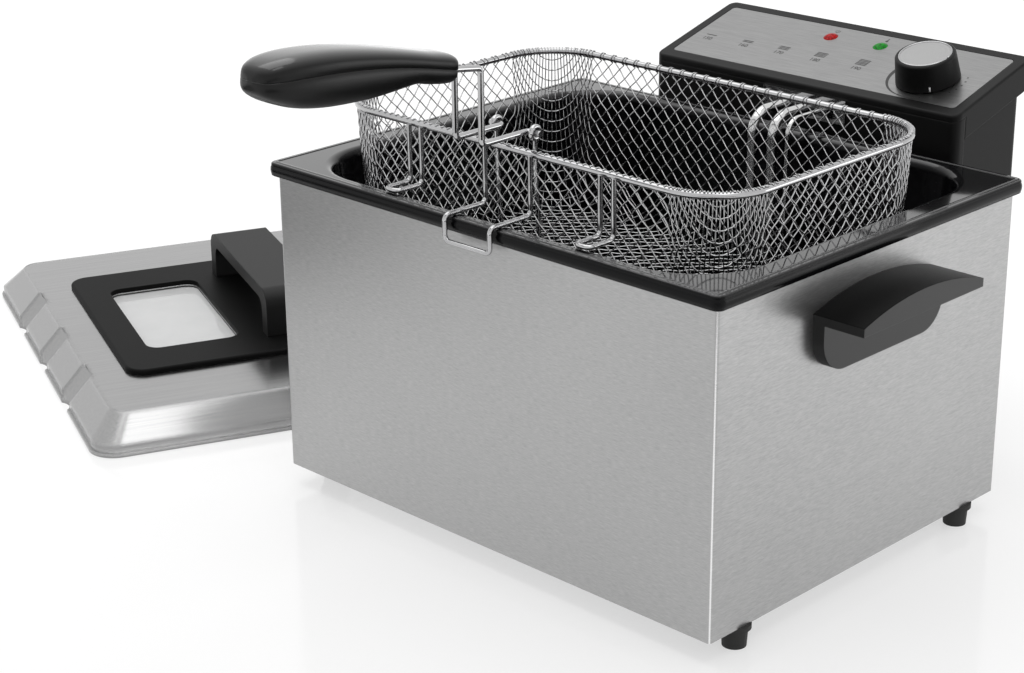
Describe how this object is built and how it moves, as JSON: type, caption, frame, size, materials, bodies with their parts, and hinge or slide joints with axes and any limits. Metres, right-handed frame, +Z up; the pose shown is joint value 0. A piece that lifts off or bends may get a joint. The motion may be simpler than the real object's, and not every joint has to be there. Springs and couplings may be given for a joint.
{
  "type": "deep fryer",
  "caption": "Steel-cased deep fryer with a black pot, a hanging wire basket with folding handle, a lift-off control unit with a knob, and a loose lid with a window.",
  "frame": {"origin": "on the floor at the centre of the front right foot's underside", "axes": "+X along the long side to the right, front faces -Y with the control unit at the rear (+Y), +Z up"},
  "size_m": [0.8347, 0.5328, 0.3383],
  "materials": {
    "brushed_steel": "brushed",
    "zinc_plated_steel": "zinc plated",
    "black_enamel": "gloss enamel",
    "chromed_wire": "polished",
    "element_steel": "satin",
    "black_plastic": "fine texture",
    "component_plastic": "moulded",
    "red_lens": "clear gloss",
    "green_lens": "clear gloss",
    "red_button": "gloss",
    "black_rubber": "matt",
    "window_glass": "clear"
  },
  "bodies": {
    "housing": {"housing_shell": "brushed_steel", "base_plate": "zinc_plated_steel", "feet": "black_rubber", "foot_screws": "zinc_plated_steel", "left_carry_handle": "black_plastic", "right_carry_handle": "black_plastic", "carry_handle_screws": "zinc_plated_steel", "guide_rails": "brushed_steel", "rail_rivets": "zinc_plated_steel"},
    "pot": {"inner_pot": "black_enamel"},
    "control_unit": {"control_case_front": "black_plastic", "control_case_rear": "black_plastic", "case_screws": "zinc_plated_steel", "control_bezel": "black_plastic", "panel_plate": "brushed_steel", "power_lamp_lens": "red_lens", "ready_lamp_lens": "green_lens", "lamp_holders": "component_plastic", "thermostat_body": "component_plastic", "heating_element": "element_steel", "element_plate": "chromed_wire", "element_supports": "element_steel", "thermostat_sensor": "element_steel", "thermal_cutout": "component_plastic", "terminal_block": "component_plastic", "safety_switch": "component_plastic", "cord_gland": "black_rubber"},
    "reset_button": {"reset_button": "red_button"},
    "knob": {"knob_body": "black_plastic", "knob_cap": "chromed_wire", "thermostat_spindle": "element_steel"},
    "basket": {"basket_front_mesh": "chromed_wire", "basket_rear_mesh": "chromed_wire", "basket_left_mesh": "chromed_wire", "basket_right_mesh": "chromed_wire", "basket_corner_mesh": "chromed_wire", "basket_floor_mesh": "chromed_wire", "basket_rim_wire": "chromed_wire", "basket_rest_feet": "chromed_wire", "drain_hook": "chromed_wire", "handle_eyes": "chromed_wire"},
    "basket_handle": {"handle_wire": "chromed_wire", "grip_upper_half": "black_plastic", "grip_lower_half": "black_plastic", "grip_screws": "zinc_plated_steel"},
    "lid": {"lid_shell": "brushed_steel", "lid_bezel": "black_plastic", "window_seal": "black_rubber", "lid_window": "window_glass", "lid_handle": "black_plastic", "lid_handle_screws": "zinc_plated_steel"}
  },
  "joints": [
    {"name": "pot_lift", "type": "slide", "parent": "housing", "child": "pot", "axis": [0, 0, 1], "range_m": [0, 0.18]},
    {"name": "control_lift", "type": "slide", "parent": "pot", "child": "control_unit", "axis": [0, 0, 1], "range_m": [0, 0.2]},
    {"name": "basket_lift", "type": "slide", "parent": "control_unit", "child": "basket", "axis": [0, 0, 1], "range_m": [0, 0.15]},
    {"name": "handle_fold", "type": "hinge", "parent": "basket", "child": "basket_handle", "pos_m": [-0.168, 0.0015, 0.264], "axis": [-1, 0, 0], "range_deg": [0, 140]},
    {"name": "knob_turn", "type": "hinge", "parent": "control_unit", "child": "knob", "pos_m": [-0.092, 0.29425, 0.24983], "axis": [0, -0.2672, 0.9636], "range_deg": [-270, 0]},
    {"name": "reset_press", "type": "slide", "parent": "control_unit", "child": "reset_button", "axis": [0, -1, 0], "range_m": [0, 0.002], "stiffness_N_per_m": 500},
    {"name": "lid_lift", "type": "slide", "parent": "housing", "child": "lid", "axis": [0, 0, 1], "range_m": [0, 0.1]}
  ]
}
